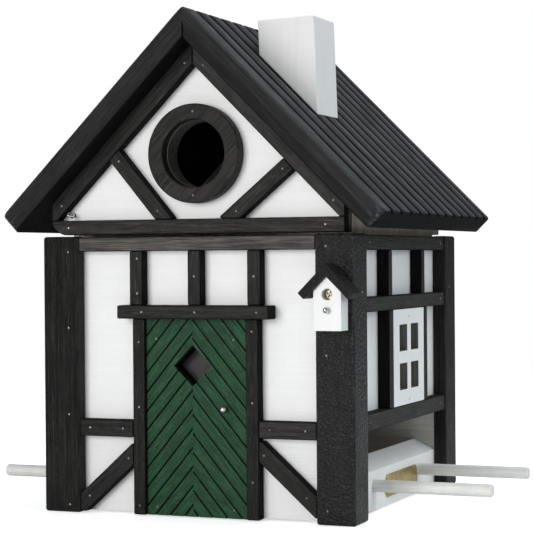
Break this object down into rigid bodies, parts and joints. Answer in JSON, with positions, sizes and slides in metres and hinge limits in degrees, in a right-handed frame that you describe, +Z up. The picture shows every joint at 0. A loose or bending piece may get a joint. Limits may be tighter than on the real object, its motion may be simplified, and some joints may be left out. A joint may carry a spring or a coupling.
{
  "type": "birdhouse",
  "caption": "Half-timbered nest box with a gabled roof that tips open on two pins, feeder openings in both sides and two slide-out perch rods.",
  "frame": {"origin": "centre of the base, at ground level", "axes": "+X to the right along the perch rods, +Y from the front to the back, +Z up"},
  "size_m": [0.26, 0.1867, 0.2406],
  "materials": {
    "dark_timber": "satin",
    "roof_stain": "satin",
    "white_paint": "satin",
    "raw_wood": "matte",
    "door_green": "satin",
    "dark_pane": "gloss",
    "window_pane": "matte",
    "bright_steel": "polished",
    "brass_plate": "satin",
    "pale_rod": "satin"
  },
  "bodies": {
    "house": {"floor_board": "raw_wood", "front_panel": "white_paint", "back_panel": "white_paint", "left_side_panel": "white_paint", "right_side_panel": "white_paint", "front_left_post": "dark_timber", "front_right_post": "dark_timber", "back_left_post": "dark_timber", "back_right_post": "dark_timber", "front_top_rail": "dark_timber", "left_upper_stud": "dark_timber", "middle_upper_stud": "dark_timber", "right_upper_stud": "dark_timber", "door_lintel": "dark_timber", "left_door_post": "dark_timber", "right_door_post": "dark_timber", "door": "door_green", "door_pane": "dark_pane", "door_knob": "bright_steel", "left_mid_rail": "dark_timber", "right_mid_rail": "dark_timber", "left_lower_brace": "dark_timber", "right_lower_brace": "dark_timber", "right_top_side_rail": "dark_timber", "right_middle_side_rail": "dark_timber", "right_low_side_rail": "dark_timber", "right_side_studs": "dark_timber", "right_window_frame": "white_paint", "right_window_pane": "window_pane", "right_feeder_sill": "white_paint", "brass_badge": "brass_plate", "left_top_side_rail": "dark_timber", "left_middle_side_rail": "dark_timber", "left_low_side_rail": "dark_timber", "left_side_studs": "dark_timber", "left_window_frame": "white_paint", "left_window_pane": "window_pane", "left_feeder_sill": "white_paint", "little_house_body": "white_paint", "little_house_roof": "dark_timber", "little_house_screw": "bright_steel", "little_house_perch": "bright_steel", "hinge_pins": "bright_steel", "body_nails": "bright_steel"},
    "roof": {"front_gable": "white_paint", "back_gable": "white_paint", "left_roof_board": "roof_stain", "right_roof_board": "roof_stain", "chimney": "white_paint", "gable_beam": "dark_timber", "left_rafter_trim": "dark_timber", "right_rafter_trim": "dark_timber", "left_gable_brace": "dark_timber", "right_gable_brace": "dark_timber", "entrance_ring": "dark_timber", "roof_nails": "bright_steel"},
    "front_perch_rod": {"front_perch": "pale_rod"},
    "rear_perch_rod": {"rear_perch": "pale_rod"}
  },
  "joints": [
    {"name": "roof_hinge", "type": "hinge", "parent": "house", "child": "roof", "pos_m": [-0.0665, 0, 0.1439], "axis": [0, -1, 0], "range_deg": [0, 28]},
    {"name": "front_perch_slide", "type": "slide", "parent": "house", "child": "front_perch_rod", "axis": [1, 0, 0], "range_m": [0, 0.235]},
    {"name": "rear_perch_slide", "type": "slide", "parent": "house", "child": "rear_perch_rod", "axis": [1, 0, 0], "range_m": [0, 0.235]}
  ]
}
